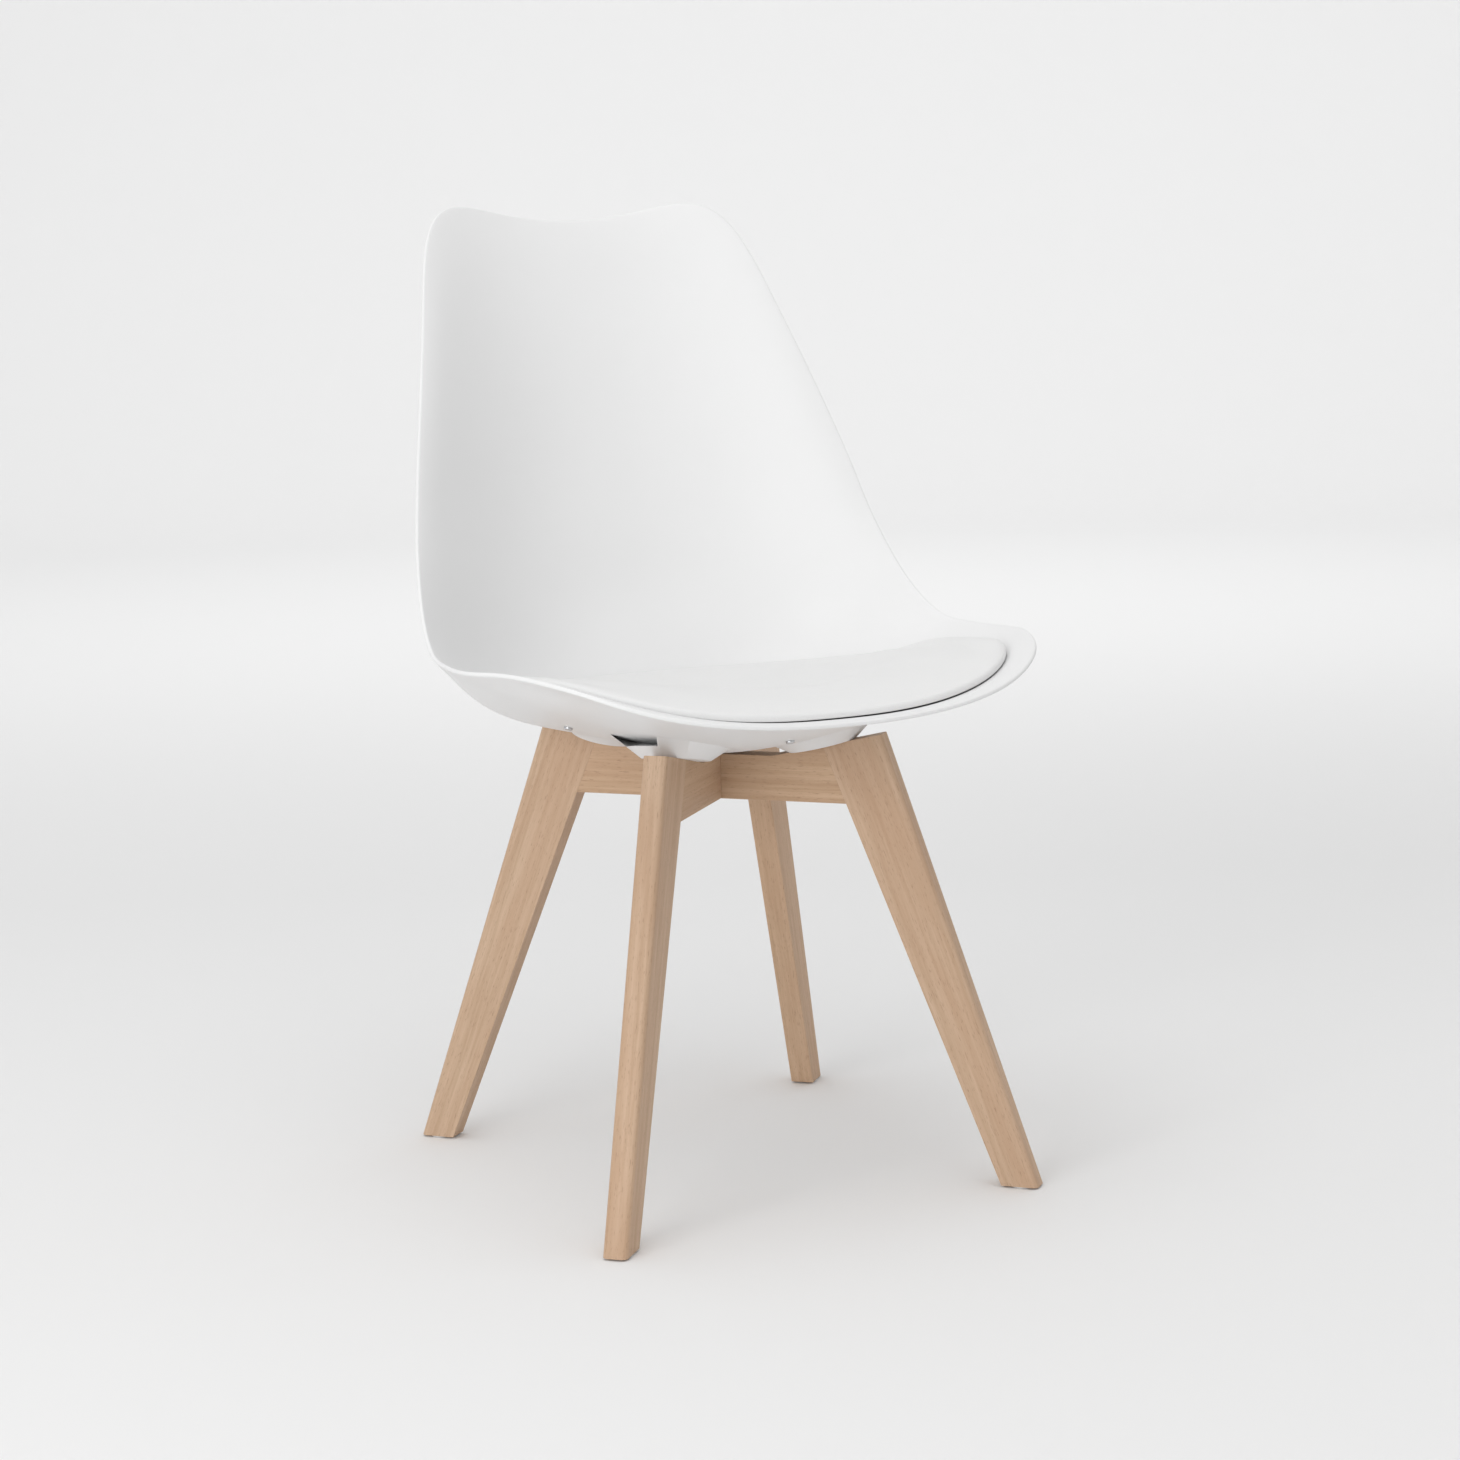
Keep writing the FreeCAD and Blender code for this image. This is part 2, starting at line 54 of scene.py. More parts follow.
class Shade:
    """A socket of a material, so that shader maths reads as plain arithmetic."""

    def __init__(self, tree, socket=None):
        self.tree = tree
        self.socket = socket

    def node(self, kind, settings=None, inputs=None, output=0):
        """Adds a node: its settings first, then the values or links of its sockets."""
        made = self.tree.nodes.new("ShaderNode" + kind)
        for name, value in (settings or {}).items():
            setattr(made, name, value)
        for name, value in (inputs or {}).items():
            if isinstance(value, Shade):
                self.tree.links.new(value.socket, made.inputs[name])
            else:
                made.inputs[name].default_value = value
        return Shade(self.tree, made.outputs[output] if made.outputs else None)

    def maths(self, operation, first, second):
        return self.node("Math", {"operation": operation}, {0: first, 1: second})

    def __add__(self, other):
        return self.maths("ADD", self, other)

    def __radd__(self, other):
        return self.maths("ADD", other, self)

    def __sub__(self, other):
        return self.maths("SUBTRACT", self, other)

    def __rsub__(self, other):
        return self.maths("SUBTRACT", other, self)

    def __mul__(self, other):
        return self.maths("MULTIPLY", self, other)

    def __rmul__(self, other):
        return self.maths("MULTIPLY", other, self)


def new_finish(name):
    """An empty material and the first Shade of its tree."""
    finish = bpy.data.materials.new(name)
    finish.use_nodes = True
    finish.node_tree.nodes.clear()
    return finish, Shade(finish.node_tree)


def blend(factor, first, second):
    """Two colours mixed by a factor."""
    return factor.node("Mix", {"data_type": "RGBA"}, {0: factor, 6: first, 7: second}, output=2)


def spread(value, low, high, to_low, to_high):
    """A value stretched from one range to another, and kept inside it."""
    return value.node(
        "MapRange", {"clamp": True}, {0: value, 1: low, 2: high, 3: to_low, 4: to_high}
    )


def mottle(place, scale, detail=2.0, roughness=0.5, distortion=0.0):
    """Cloudy noise from 0 to 1."""
    look = {"Scale": scale, "Detail": detail, "Roughness": roughness, "Distortion": distortion}
    return place.node("TexNoise", {"noise_dimensions": "3D"}, {"Vector": place, **look})


def wear(obj, finish):
    obj.data.materials.clear()
    obj.data.materials.append(finish)


def object_from(bm, name):
    """A smooth object in the scene from a bmesh, which is used up."""
    mesh = bpy.data.meshes.new(name)
    bm.to_mesh(mesh)
    bm.free()
    mesh.shade_smooth()
    obj = bpy.data.objects.new(name, mesh)
    bpy.context.scene.collection.objects.link(obj)
    return obj


def settle(obj):
    """Applies an object's modifiers to its mesh."""
    ready = obj.evaluated_get(bpy.context.evaluated_depsgraph_get())
    mesh = bpy.data.meshes.new_from_object(ready)
    obj.modifiers.clear()
    obj.data = mesh


def new_verts(grown):
    """The points that an extrusion has added."""
    return [g for g in grown["geom"] if isinstance(g, bmesh.types.BMVert)]


def open_edges(bm):
    return [e for e in bm.edges if e.is_boundary]


floor_radius = 6.0
floor_turn_up = 1.6                    # radius of the curve between floor and wall
floor_turn_steps = 12
wall_height = 2.4
floor_colour = (0.84, 0.84, 0.84, 1.0)
bm = bmesh.new()
bmesh.ops.create_circle(bm, cap_ends=True, cap_tris=False, segments=96, radius=floor_radius)
for step in range(1, floor_turn_steps + 1):
    turn = math.radians(90 * step / floor_turn_steps)
    for v in new_verts(bmesh.ops.extrude_edge_only(bm, edges=open_edges(bm))):
        outwards = Vector((v.co.x, v.co.y, 0.0)).normalized()
        v.co = outwards * (floor_radius + floor_turn_up * math.sin(turn))
        v.co.z = floor_turn_up * (1 - math.cos(turn))
wall_top = new_verts(bmesh.ops.extrude_edge_only(bm, edges=open_edges(bm)))
bmesh.ops.translate(bm, vec=(0.0, 0.0, wall_height), verts=wall_top)
floor = object_from(bm, "floor")
paper, start = new_finish("floor_paper")
place = start.node("TexCoord", output="Object")
fibres = mottle(place, 260.0, 3.0)
paper_bsdf = start.node(
    "BsdfPrincipled",
    inputs={
        "Base Color": floor_colour,
        "Roughness": spread(fibres, 0.3, 0.7, 0.86, 0.94),
        "Specular IOR Level": 0.1,
    },
)
start.node("OutputMaterial", inputs={"Surface": paper_bsdf})
wear(floor, paper)

world = bpy.data.worlds.new("soft_sky")
world.use_nodes = True
sky = world.node_tree.nodes["Background"]
sky.inputs["Color"].default_value = (1.0, 1.0, 1.0, 1.0)
sky.inputs["Strength"].default_value = 0.80
bpy.context.scene.world = world


def soft_panel(name, position, aim, size, power):
    """A large light that the camera doesn't see, in watts."""
    lamp = bpy.data.lights.new(name, "AREA")
    lamp.shape = "RECTANGLE"
    lamp.size, lamp.size_y = size
    lamp.energy = power
    panel = bpy.data.objects.new(name, lamp)
    panel.visible_camera = False
    panel.location = position
    panel.rotation_euler = (Vector(aim) - Vector(position)).to_track_quat("-Z", "Y").to_euler()
    bpy.context.scene.collection.objects.link(panel)


soft_panel("side_panel", (-3.2, -2.0, 1.3), (0.0, 0.0, 0.45), (2.2, 1.6), 46.0)
soft_panel("top_panel", (-0.6, -0.6, 3.4), (0.0, 0.0, 0.45), (2.4, 2.4), 18.0)
soft_panel("wall_panel", (1.6, 2.6, 3.6), (3.4, 7.0, 1.2), (4.0, 2.0), 62.0)

view_turn = math.radians(-25.53)       # round the chair, from straight in front
view_rise = math.radians(8.31)
view_roll = math.radians(-1.37)
view_distance = 2.6948
view_target = crossing + Vector((0.0, 0.0, 0.40312))
backwards = Vector(
    (
        math.sin(view_turn) * math.cos(view_rise),
        -math.cos(view_turn) * math.cos(view_rise),
        math.sin(view_rise),
    )
)
level_right = Vector((math.cos(view_turn), math.sin(view_turn), 0.0))
level_up = backwards.cross(level_right)
rolled_right = level_right * math.cos(view_roll) + level_up * math.sin(view_roll)
rolled_up = level_up * math.cos(view_roll) - level_right * math.sin(view_roll)
lens = bpy.data.cameras.new("camera")
lens.lens = 77.77
lens.sensor_width = 36.0
lens.shift_x = 0.01273
lens.shift_y = -0.01896
camera = bpy.data.objects.new("camera", lens)
turned_view = Matrix((rolled_right, rolled_up, backwards)).transposed().to_4x4()
camera.matrix_world = Matrix.Translation(view_target + backwards * view_distance) @ turned_view
bpy.context.scene.collection.objects.link(camera)
bpy.context.scene.camera = camera
bpy.context.scene.view_settings.view_transform = "Standard"

# The four legs. Each is a tapering board of pale beech, sawn with its grain running from foot to
# seat, its two outer edges rounded over, sanded and given a thin matt lacquer.
leg_angle = math.radians(43.25)        # from the front-to-back line
foot_middle_radius = 0.2707
top_middle_radius = 0.1494
top_height = 0.3219
plain_warmth = 0.2
# The rear left leg's redder, darker beech is partly its own tone and partly painted shade, for the shade
# it stands in under the seat.
rear_left_warmth_and_shade = 0.45
leg_turns = {
    "front_left": leg_angle - math.radians(90),
    "front_right": -math.radians(90) - leg_angle,
    "rear_left": math.radians(90) - leg_angle,
    "rear_right": math.radians(90) + leg_angle,
}


def finish_surface(start, colour, roughness, height, strength, distance, **fixed):
    """Ends a material: its colour and roughness, a bump from a height, and any fixed values."""
    bump = start.node("Bump", inputs={"Strength": strength, "Distance": distance, "Height": height})
    inputs = {"Base Color": colour, "Roughness": roughness, "Normal": bump}
    inputs.update({name.replace("_", " "): value for name, value in fixed.items()})
    bsdf = start.node("BsdfPrincipled", inputs=inputs)
    start.node("OutputMaterial", inputs={"Surface": bsdf})


def away(leg):
    """Level direction from the crossing to a leg."""
    return Vector((math.cos(leg_turns[leg]), math.sin(leg_turns[leg]), 0.0))


def beech(name, along, middle, warmth_and_shade):
    """Sanded beech whose grain runs along one direction. The last argument goes from 0 for pale to 1 for
    red, darker wood; the high values given to the rails and the rear left leg are partly painted shade,
    standing in for the shade under the seat.
    """
    finish, start = new_finish(name)
    along = along.normalized()
    across = along.cross(Vector((0.31, 0.17, 0.94))).normalized()
    through = along.cross(across)
    turn = Matrix((along, across, through)).transposed().to_euler()
    place = start.node("TexCoord", output="Object")
    laid = place.node(
        "Mapping", {"vector_type": "TEXTURE"}, {"Vector": place, "Location": middle, "Rotation": turn}
    )

    def streaks(lengthwise, crosswise, detail, distortion=0.0):
        size = (lengthwise, crosswise, crosswise)
        stretched = laid.node("Mapping", inputs={"Vector": laid, "Scale": size})
        return mottle(stretched, 1.0, detail, 0.55, distortion)

    bands = spread(streaks(5.0, 170.0, 3.0, 0.4), 0.36, 0.66, 0.0, 1.0)
    fibres = spread(streaks(22.0, 700.0, 4.0), 0.34, 0.66, 0.0, 1.0)
    drift = spread(streaks(4.0, 24.0, 2.0), 0.35, 0.65, 0.0, 1.0)
    flecks = spread(streaks(150.0, 1300.0, 2.0), 0.60, 0.70, 0.0, 1.0)
    pale = (0.64 - 0.05 * warmth_and_shade, 0.475 - 0.08 * warmth_and_shade, 0.345 - 0.10 * warmth_and_shade, 1.0)
    tan = (0.41 - 0.04 * warmth_and_shade, 0.265 - 0.05 * warmth_and_shade, 0.160 - 0.045 * warmth_and_shade, 1.0)
    rosy = (0.50, 0.32, 0.205, 1.0)
    dark = (0.24, 0.135, 0.075, 1.0)
    colour = blend(bands * 0.42 + fibres * 0.24, pale, tan)
    colour = blend(drift * 0.55, colour, rosy)
    colour = blend(flecks * 0.42, colour, dark)
    height = 0.6 * fibres + 0.4 * (1 - flecks)
    roughness = 0.50 + 0.12 * fibres
    finish_surface(start, colour, roughness, height, 0.22, 0.0004, Specular_IOR_Level=0.35)
    return finish


for leg in leg_turns:
    foot = crossing + away(leg) * foot_middle_radius
    joint = crossing + away(leg) * top_middle_radius + Vector((0.0, 0.0, top_height))
    warmth_and_shade = rear_left_warmth_and_shade if leg == "rear_left" else plain_warmth
    wear(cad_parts[leg + "_leg"], beech(leg + "_beech", joint - foot, foot, warmth_and_shade))

# The two rails. They are beech boards on edge, halved into each other where they cross, glued and
# dowelled to the legs, with a counterbore from below for each bolt that holds the seat.
rail_middle = crossing + Vector((0.0, 0.0, 0.34))
# The rails' redder, darker beech is partly their own tone and partly painted shade, for the shade under
# the seat.
rail_warmth_and_shade = 0.6
for rail, leg in (
    ("rail_front_left_to_rear_right", "front_left"),
    ("rail_front_right_to_rear_left", "front_right"),
):
    wear(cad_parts[rail], beech(rail + "_beech", away(leg), rail_middle, rail_warmth_and_shade))

# The dowels. Each joint of a leg and its rail has two short pegs of turned beech, glued in from
# both sides, where they don't show.
dowel_warmth = 0.4
for leg in leg_turns:
    wood = beech(leg + "_dowel_beech", away(leg), crossing, dowel_warmth)
    wear(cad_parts[leg + "_leg_dowels"], wood)


# The glides. Each is a thin disc of white nylon with a moulded nail, driven into the end of a
# foot, so that the wood stays off the floor.
def nylon():
    finish, start = new_finish("glide_nylon")
    place = start.node("TexCoord", output="Object")
    cloud = mottle(place, 120.0, 3.0)
    scuffs = spread(mottle(place, 900.0, 4.0), 0.55, 0.75, 0.0, 1.0)
    colour = blend(cloud, (0.74, 0.74, 0.73, 1.0), (0.80, 0.80, 0.79, 1.0))
    colour = blend(scuffs * 0.3, colour, (0.55, 0.54, 0.52, 1.0))
    finish_surface(start, colour, 0.42 + 0.2 * scuffs, scuffs, 0.15, 0.0002)
    return finish


white_nylon = nylon()
for leg in leg_turns:
    wear(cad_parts[leg + "_glide"], white_nylon)


# The frame's hardware. Black steel socket bolts with a plain and a spring washer sit in the rails'
# counterbores and screw into zinc-plated sleeve nuts. One screw pins the crossing, and four short
# ones hold the pad.
def plated_steel(name, dark, light, roughness):
    finish, start = new_finish(name)
    place = start.node("TexCoord", output="Object")
    turned = mottle(place, 2600.0, 3.0)
    cloud = mottle(place, 300.0, 2.0)
    colour = blend(cloud * 0.6 + turned * 0.4, dark, light)
    finish_surface(start, colour, roughness + 0.15 * turned, turned, 0.12, 0.0001, Metallic=1.0)
    return finish


zinc = plated_steel("zinc_plate", (0.52, 0.53, 0.55, 1.0), (0.70, 0.71, 0.72, 1.0), 0.28)
black_oxide = plated_steel(
    "black_oxide", (0.012, 0.012, 0.013, 1.0), (0.035, 0.035, 0.038, 1.0), 0.38
)
for node, finish in (
    ("frame_washers", zinc),
    ("frame_spring_washers", zinc),
    ("flanged_nuts", zinc),
    ("rail_crossing_screw", zinc),
    ("pad_screws", zinc),
    ("frame_bolts", black_oxide),
):
    wear(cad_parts[node], finish)

# The seat shell. One moulding of white satin polypropylene, 4 mm thick: a dished pan that sweeps
# up into the back, its edge flared outwards and rounded, with four drafted bosses under the pan.
pan_height = 0.3665
half_width = 0.257
back_height = 0.4495
front_edge_y = -0.253
top_edge_y = 0.278
wall = 0.004
edge_flare = 0.16
flare_sharpness = 8.0
front_corner_fullness = 4.3
top_corner_fullness = 5.4
bowl_centre = 0.36
dish_rounding = 0.25
lip_start = 0.88
lip_depth = 0.0035


def back(share):
    return share * back_height


# Lines across the shell: the middle's y and rise, how far the side is tucked in, the side's y and
# rise, how suddenly the section turns up, and how much of its rise is an even slope.
shell_lines = (
    (front_edge_y, 0.0550, 0.0300, -0.2270, 0.0880, 2.25, 0.0),
    (front_edge_y + 0.0305, 0.0490, 0.0235, -0.1840, 0.1035, 3.0, 0.09),
    (-0.172, 0.0345, 0.0140, -0.1290, 0.1045, 4.3, 0.47),
    (-0.100, 0.0145, 0.0050, -0.0730, 0.0970, 5.9, 0.74),
    (-0.010, 0.0000, 0.0115, -0.0185, 0.0940, 6.5, 0.75),
    (0.080, 0.0075, 0.0195, 0.0275, 0.0975, 5.7, 0.35),
    (0.146, 0.0415, 0.0280, 0.0695, back(0.278), 3.9, 0.0),
    (0.188, back(0.230), 0.0385, 0.1070, back(0.393), 2.6, 0.0),
    (0.211, back(0.408), 0.0505, 0.1330, back(0.523), 2.4, 0.0),
    (0.231, back(0.586), 0.0660, 0.1635, back(0.671), 2.2, 0.0),
    (top_edge_y - 0.030, back(0.754), 0.0815, 0.1990, back(0.828), 2.2, 0.0),
    (top_edge_y - 0.014, back(0.887), 0.0910, 0.2330, back(0.977), 2.2, 0.0),
    (top_edge_y, back(1.000), 0.0980, 0.2585, back(1.099), 2.2, 0.0),
)


def shell_line(along):
    """The line across the shell at a place from 0, the front edge, to 1, the top edge."""
    last = len(shell_lines) - 1
    spot = min(max(along, 0.0), 1.0) * last
    i = min(int(spot), last - 1)
    t = spot - i
    b, c = shell_lines[i], shell_lines[i + 1]
    a = shell_lines[i - 1] if i > 0 else tuple(2 * p - q for p, q in zip(b, c))
    d = shell_lines[i + 2] if i + 2 <= last else tuple(2 * q - p for p, q in zip(b, c))
    return tuple(
        0.5 * (2 * q + (r - p) * t + (2 * p - 5 * q + 4 * r - s) * t**2 + (3 * q - p - 3 * r + s) * t**3)
        for p, q, r, s in zip(a, b, c, d)
    )


def shell_point(along, across):
    middle_y, middle_rise, tuck, side_y, side_rise, power, sloped = shell_line(along)
    even = math.hypot(across, dish_rounding) - dish_rounding
    even /= math.hypot(1, dish_rounding) - dish_rounding
    turned_up = abs(across) ** power
    turned_up *= (1 + edge_flare) / (1 + edge_flare * abs(across) ** flare_sharpness)
    bend = sloped * even + (1 - sloped) * turned_up
    return crossing + Vector(
        (
            (half_width - tuck) * across,
            middle_y + (side_y - middle_y) * bend,
            pan_height + middle_rise + (side_rise - middle_rise) * bend,
        )
    )


def shell_normal(along, across):
    """Square to the shell, towards the sitter."""
    step = 0.004
    low, high = max(along - step, 0.0), min(along + step, 1.0)
    lengthwise = shell_point(high, across) - shell_point(low, across)
    crosswise = shell_point(along, across + step) - shell_point(along, across - step)
    return crosswise.cross(lengthwise).normalized()


def rounded(angle, share, front_fullness, rear_fullness):
    """Outline of an ellipse in the middle and full corners at the edge."""
    side, front = math.cos(angle), math.sin(angle)
    power = 2 + ((front_fullness if front < 0 else rear_fullness) - 2) * share
    reach = (abs(side) ** power + abs(front) ** power) ** (-1 / power)
    return reach * front, reach * side


def shell_place(angle, share):
    lengthwise, sideways = rounded(angle, share, front_corner_fullness, top_corner_fullness)
    edge = 0.5 + 0.5 * lengthwise
    return bowl_centre + (edge - bowl_centre) * share, sideways * share


def lip(share):
    """How far the rim has turned down from the sitter at a share of the outline."""
    return lip_depth * max((share - lip_start) / (1 - lip_start), 0.0) ** 2


def quad_disc(cells, share, height):
    """A flat disc of quads without a pole. Its radius is the share, its z a height over it."""
    bm = bmesh.new()
    bmesh.ops.create_grid(bm, x_segments=cells, y_segments=cells, size=1.0)
    for v in bm.verts:
        u, w = v.co.x, v.co.y
        v.co.x = share * u * math.sqrt(1 - w * w / 2)
        v.co.y = share * w * math.sqrt(1 - u * u / 2)
        v.co.z = height(math.hypot(v.co.x, v.co.y))
    return bm


def add_ring(bm, share, height):
    """Grows the disc's open edge to another share and height."""
    for v in new_verts(bmesh.ops.extrude_edge_only(bm, edges=open_edges(bm))):
        angle = math.atan2(v.co.y, v.co.x)
        v.co = (share * math.cos(angle), share * math.sin(angle), height)


def lay_on_shell(bm, outline):
    """Bends a flat disc on to the shell's inner face."""
    for v in bm.verts:
        angle = math.atan2(v.co.y, v.co.x)
        along, across = outline(angle, math.hypot(v.co.x, v.co.y))
        v.co = shell_point(along, across) + shell_normal(along, across) * v.co.z


disc_share = 0.34                      # where the rings begin, round the middle's grid
disc_cells = 40
shell_rings = 24
skin = quad_disc(disc_cells, disc_share, lambda share: 0.0)
for step in range(1, shell_rings + 1):
    share = disc_share + (1 - disc_share) * step / shell_rings
    add_ring(skin, share, -lip(share))
lay_on_shell(skin, shell_place)
bmesh.ops.recalc_face_normals(skin, faces=skin.faces)
pan_face = min(skin.faces, key=lambda f: f.calc_center_median().z)
if pan_face.normal.z < 0:
    bmesh.ops.reverse_faces(skin, faces=skin.faces)
shell = object_from(skin, "seat_shell_moulding")
edge_rounding = 0.0014
thickness = shell.modifiers.new("wall", "SOLIDIFY")
thickness.thickness = wall
thickness.offset = -1.0
rounding = shell.modifiers.new("rounded_edge", "BEVEL")
rounding.width = edge_rounding
rounding.segments = 2
rounding.limit_method = "ANGLE"
rounding.angle_limit = math.radians(50)
smoothing = shell.modifiers.new("smoothing", "SUBSURF")
smoothing.levels = 1
smoothing.render_levels = 1
settle(shell)

# The bosses rest on the sloping leg tops. Each is a drafted disc that runs into the wall, and a
# short post on its inner side carries the sleeve nut.
seat_slope = math.radians(12.5)
slope_start = 0.058
rail_top = 0.3605
boss_radius = 0.100
boss_foot = 0.029
boss_draft = 1.4
boss_reach = 0.015                     # of a ray that misses the wall
bolt_radius = 0.086
post_radius = 0.0105
post_start = 0.0015
post_height = 0.010
flange_seat_radius = 0.0112
bore_radius = 0.00415
bore_low = -0.004
bore_high = 0.025
touch_gap = 0.0001
boss_segments = 96
bore_segments = 64
wall_cells = 24
wall_share = 0.5                       # of the outline, more than the bosses reach


def seat_line(radius, height, turn):
    """Turns a shape along z on to the line square to a leg's top, at a radius and height."""
    rise = rail_top + math.tan(seat_slope) * (radius - slope_start)
    upright = Vector((-math.sin(seat_slope), 0.0, math.cos(seat_slope)))
    start = Vector((radius, 0.0, rise)) + upright * height
    return (
        Matrix.Translation(crossing)
        @ Matrix.Rotation(turn, 4, "Z")
        @ Matrix.Translation(start)
        @ Matrix.Rotation(-seat_slope, 4, "Y")
    )


def turned_body(bm, profile, place):
    """A body turned round a place's z, through radius and height pairs from its low end up."""
    ring = bmesh.ops.create_circle(bm, segments=bore_segments, radius=1.0)["verts"]
    edges = list({e for v in ring for e in v.link_edges})
    body = []
    for radius, height in profile:
        if body:
            ring = new_verts(bmesh.ops.extrude_edge_only(bm, edges=edges))
            edges = [e for e in open_edges(bm) if e.verts[0] in ring and e.verts[1] in ring]
        for v in ring:
            outwards = Vector((v.co.x, v.co.y, 0.0)).normalized()
            v.co = outwards * radius + Vector((0.0, 0.0, height))
        body += ring
    bmesh.ops.transform(bm, matrix=place, verts=body)
    bmesh.ops.holes_fill(bm, edges=open_edges(bm), sides=0)
    bmesh.ops.recalc_face_normals(bm, faces=bm.faces)


def combine(obj, bm, operation):
    """Joins a bmesh to an object, or cuts it away."""
    other = object_from(bm, "cutter")
    join = obj.modifiers.new("join", "BOOLEAN")
    join.operation = operation
    join.solver = "MANIFOLD"
    join.object = other
    settle(obj)
    bpy.data.objects.remove(other)


wall_middle = quad_disc(wall_cells, wall_share, lambda share: -wall / 2)
lay_on_shell(wall_middle, shell_place)
inside_wall = BVHTree.FromBMesh(wall_middle)
wall_middle.free()
bosses = bmesh.new()
for turn in leg_turns.values():
    stand = seat_line(boss_radius, touch_gap, turn)
    upright = (stand.to_3x3() @ Vector((0.0, 0.0, 1.0))).normalized()
    boss = bmesh.new()
    bmesh.ops.create_circle(
        boss, cap_ends=True, segments=boss_segments, radius=boss_foot, matrix=stand
    )
    for v in new_verts(bmesh.ops.extrude_face_region(boss, geom=list(boss.faces))):
        outwards = (v.co - stand.translation).normalized()
        draft = (upright + outwards * boss_draft).normalized()
        hit = inside_wall.ray_cast(v.co, draft)[0]
        v.co = hit if hit else v.co + draft * boss_reach
    bmesh.ops.recalc_face_normals(boss, faces=boss.faces)
    boss_mesh = bpy.data.meshes.new("boss")
    boss.to_mesh(boss_mesh)
    boss.free()
    bosses.from_mesh(boss_mesh)
posts = bmesh.new()
bores = bmesh.new()
post = ((post_radius, post_start), (post_radius, post_height))
bore = (
    (bore_radius, bore_low),
    (bore_radius, post_height + touch_gap / 2),
    (flange_seat_radius, post_height + touch_gap / 2),
    (flange_seat_radius, bore_high),
)
for turn in leg_turns.values():
    turned_body(posts, post, seat_line(bolt_radius, 0.0, turn))
    turned_body(bores, bore, seat_line(bolt_radius, 0.0, turn))
combine(shell, posts, "UNION")
combine(shell, bosses, "UNION")
combine(shell, bores, "DIFFERENCE")
shell.data.shade_smooth()
shell.data.set_sharp_from_angle(angle=math.radians(32))


def polypropylene():
    finish, start = new_finish("white_polypropylene")
    place = start.node("TexCoord", output="Object")
    flow = mottle(place, 6.0, 3.0, 0.5, 0.4)
    skin_grain = mottle(place, 1500.0, 2.0)
    ripple = mottle(place, 38.0, 2.0)
    colour = blend(flow, (0.79, 0.79, 0.79, 1.0), (0.815, 0.815, 0.815, 1.0))
    height = 0.7 * skin_grain + 0.3 * ripple
    roughness = 0.40 + 0.10 * skin_grain
    finish_surface(start, colour, roughness, height, 0.05, 0.0003, Specular_IOR_Level=0.4)
    return finish


wear(shell, polypropylene())
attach(shell, "root")
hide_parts("seat_shell")


# The pad board. A thin moulded plastic plate follows the pan and carries the pad. Four short
# screws through the shell hold it, and it has a hole over each sleeve nut.
def board_plastic():
    finish, start = new_finish("pad_board_plastic")
    place = start.node("TexCoord", output="Object")
    cloud = mottle(place, 60.0, 3.0)
    grain = mottle(place, 1200.0, 2.0)
    colour = blend(cloud, (0.60, 0.60, 0.59, 1.0), (0.66, 0.66, 0.65, 1.0))
    finish_surface(start, colour, 0.5 + 0.15 * grain, grain, 0.1, 0.0003)
    return finish


wear(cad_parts["pad_board"], board_plastic())

# The seat pad. Soft foam under a skin of white synthetic leather, pulled over the board and
# stapled under its edge, so the top swells and the rim rolls under without a seam.
pad_front = 0.062
pad_rear = 0.50
pad_sides = 0.885
pad_fullness = 3.4
pad_middle_rise = 0.038
pad_edge_rise = 0.008
pad_crown_power = 3
pad_hem = 0.0008                       # the cover's lowest turn over the shell
board_room = 0.0063                    # the pad's hollow underside over the shell
pad_disc = 0.40                        # where the rings begin, round the middle's grid
pad_cells = 32
pad_rings = 14
pad_shoulder = 0.975                   # where the top begins to roll under
underside_reach = 0.9                  # how far in the rings of the underside go
swell_frames = 20
swell_pressure = 4.0
swell_most = 0.0025
stapled_reach = 0.0068                 # points this near the shell are held by the staples


def pad_place(angle, share):
    lengthwise, sideways = rounded(angle, share, pad_fullness, pad_fullness)
    middle = (pad_front + pad_rear) / 2
    half = (pad_rear - pad_front) / 2
    return middle + half * lengthwise * share, pad_sides * sideways * share


def pad_top(share):
    crown = 1 - min(share, 1.0) ** pad_crown_power
    return pad_edge_rise + (pad_middle_rise - pad_edge_rise) * crown


rolled_edge = (                        # share of the outline, height over the shell
    (0.988, 0.0086),
    (0.996, 0.0068),
    (1.000, 0.0052),
    (0.999, 0.0036),
    (0.996, 0.0022),
    (0.992, pad_hem + 0.0002),
    (0.986, pad_hem + 0.0006),
    (0.980, board_room),
)
pad = quad_disc(pad_cells, pad_disc, pad_top)
for step in range(1, pad_rings + 1):
    share = pad_disc + (pad_shoulder - pad_disc) * step / pad_rings
    add_ring(pad, share, pad_top(share))
for share, height in rolled_edge:
    add_ring(pad, share, height)
for step in range(1, pad_rings + 1):
    add_ring(pad, rolled_edge[-1][0] - underside_reach * step / (pad_rings + 1), board_room)
bmesh.ops.holes_fill(pad, edges=open_edges(pad), sides=0)
lay_on_shell(pad, pad_place)
bmesh.ops.recalc_face_normals(pad, faces=pad.faces)
cushion = object_from(pad, "seat_pad")


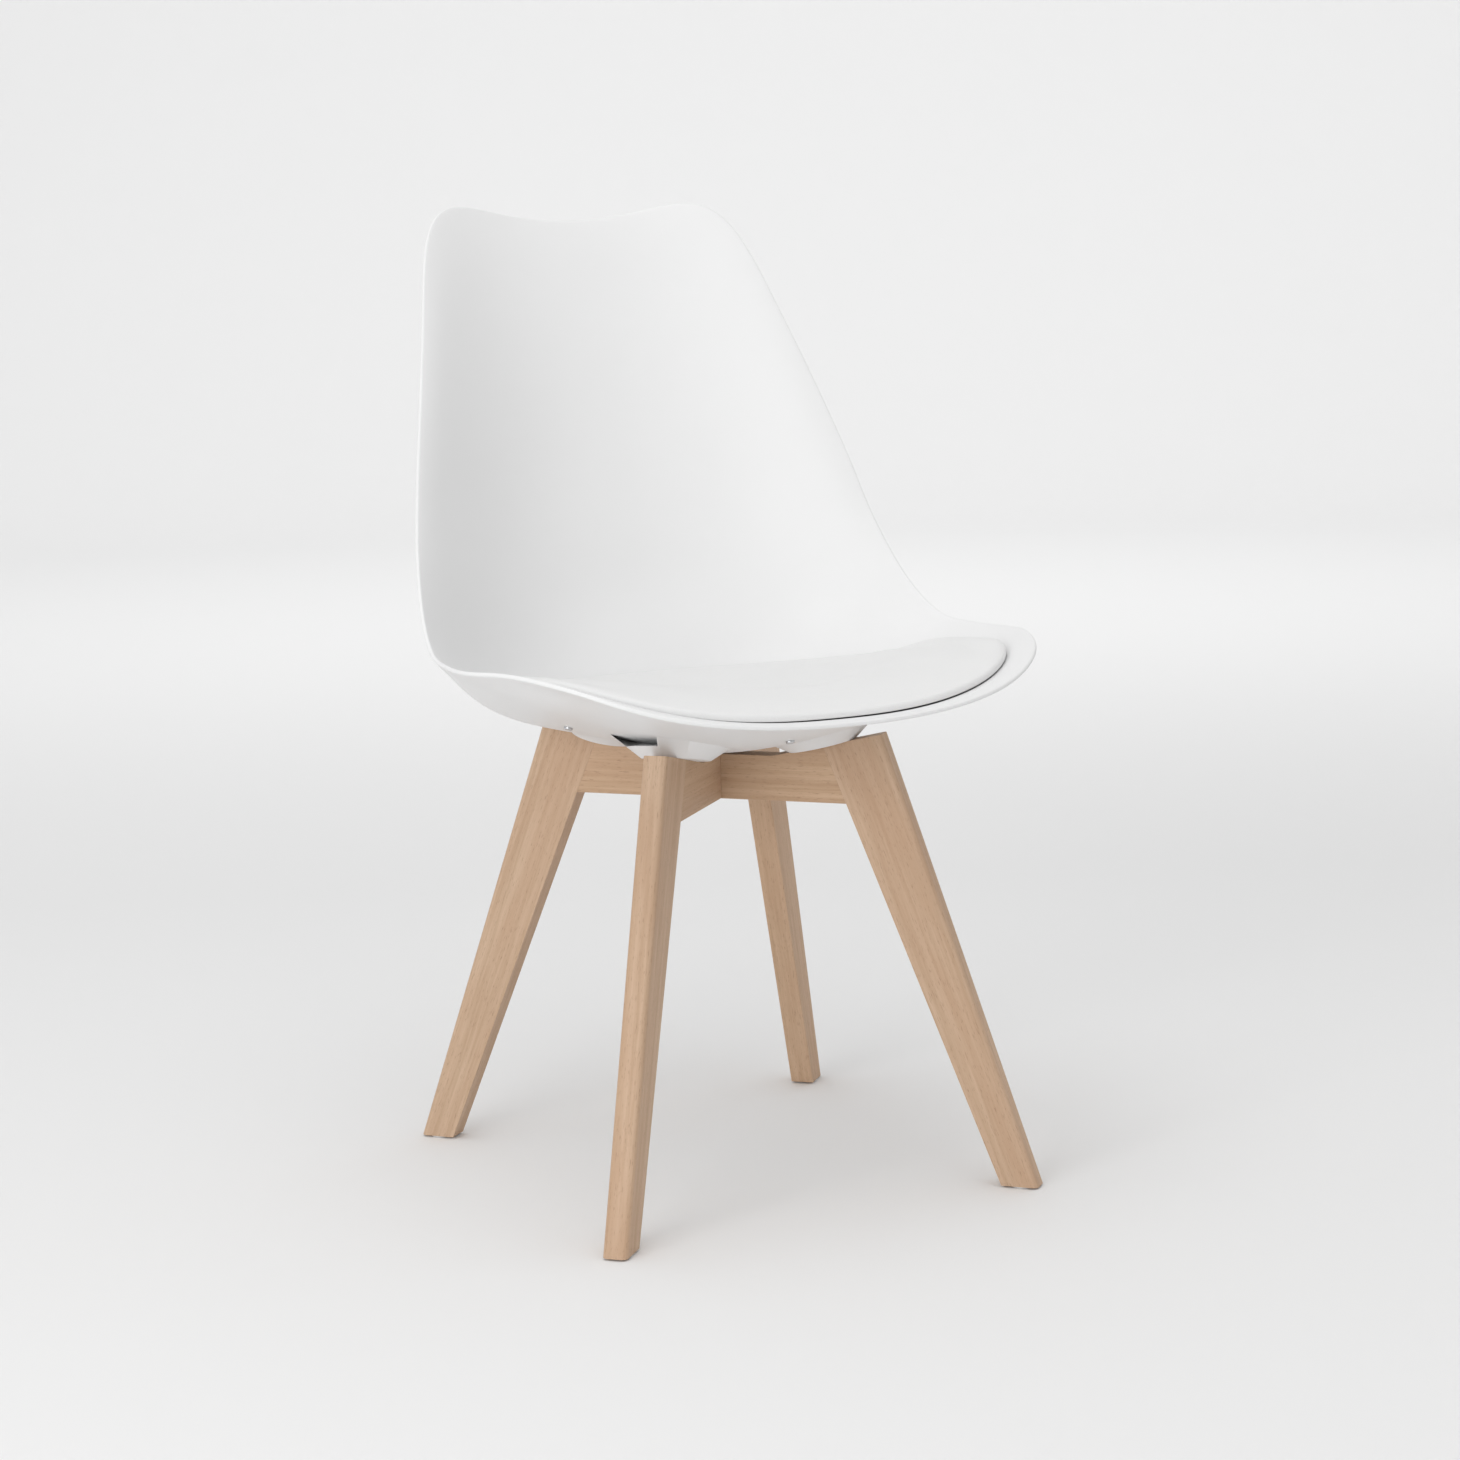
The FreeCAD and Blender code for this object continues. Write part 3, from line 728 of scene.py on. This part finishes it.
def swell(obj, held):
    """Lets the cover swell a little under the foam's push. held says which points are stapled."""
    rest = [v.co.copy() for v in obj.data.vertices]
    stapled = obj.vertex_groups.new(name="stapled")
    stapled.add([i for i, p in enumerate(rest) if held(p)], 1.0, "REPLACE")
    cover = obj.modifiers.new("cover", "CLOTH")
    cover.settings.vertex_group_mass = "stapled"
    cover.settings.use_pressure = True
    cover.settings.uniform_pressure_force = swell_pressure
    cover.settings.tension_stiffness = 20.0
    cover.settings.compression_stiffness = 20.0
    cover.settings.bending_stiffness = 1.5
    cover.settings.effector_weights.gravity = 0.0
    cover.point_cache.frame_start = 1
    cover.point_cache.frame_end = swell_frames
    for frame_number in range(1, swell_frames + 1):
        bpy.context.scene.frame_set(frame_number)
    settle(obj)
    obj.vertex_groups.clear()
    for v, p in zip(obj.data.vertices, rest):
        moved = v.co - p
        if moved.length > swell_most:
            v.co = p + moved * (swell_most / moved.length)
    bpy.context.scene.frame_set(1)


shell_tree = BVHTree.FromPolygons(
    [v.co.copy() for v in shell.data.vertices], [f.vertices[:] for f in shell.data.polygons]
)


def near_shell(point):
    return shell_tree.find_nearest(point, stapled_reach)[0] is not None


swell(cushion, near_shell)
softening = cushion.modifiers.new("softening", "SUBSURF")
softening.levels = 1
softening.render_levels = 1
settle(cushion)
cushion.data.shade_smooth()


def synthetic_leather():
    finish, start = new_finish("white_synthetic_leather")
    place = start.node("TexCoord", output="Object")
    cloud = mottle(place, 9.0, 3.0, 0.5, 0.3)
    grain = place.node(
        "TexVoronoi",
        {"feature": "SMOOTH_F1", "distance": "EUCLIDEAN"},
        {"Vector": place, "Scale": 950.0, "Smoothness": 0.6, "Randomness": 1.0},
    )
    creases = mottle(place, 420.0, 3.0, 0.6, 0.5)
    soft_waves = mottle(place, 22.0, 2.0)
    pits = spread(grain, 0.05, 0.75, 0.0, 1.0)
    colour = blend(cloud, (0.79, 0.79, 0.787, 1.0), (0.815, 0.815, 0.812, 1.0))
    # The grain's pits are painted darker: painted shade in the hollows that the bump makes.
    colour = blend(0.25 * pits, colour, (0.73, 0.73, 0.725, 1.0))
    height = 0.55 * (1 - pits) + 0.25 * creases + 0.20 * soft_waves
    roughness = 0.44 + 0.12 * pits
    finish_surface(start, colour, roughness, height, 0.16, 0.0004, Specular_IOR_Level=0.42)
    return finish


wear(cushion, synthetic_leather())
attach(cushion, "root")
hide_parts("pad_cover", "pad_foam")
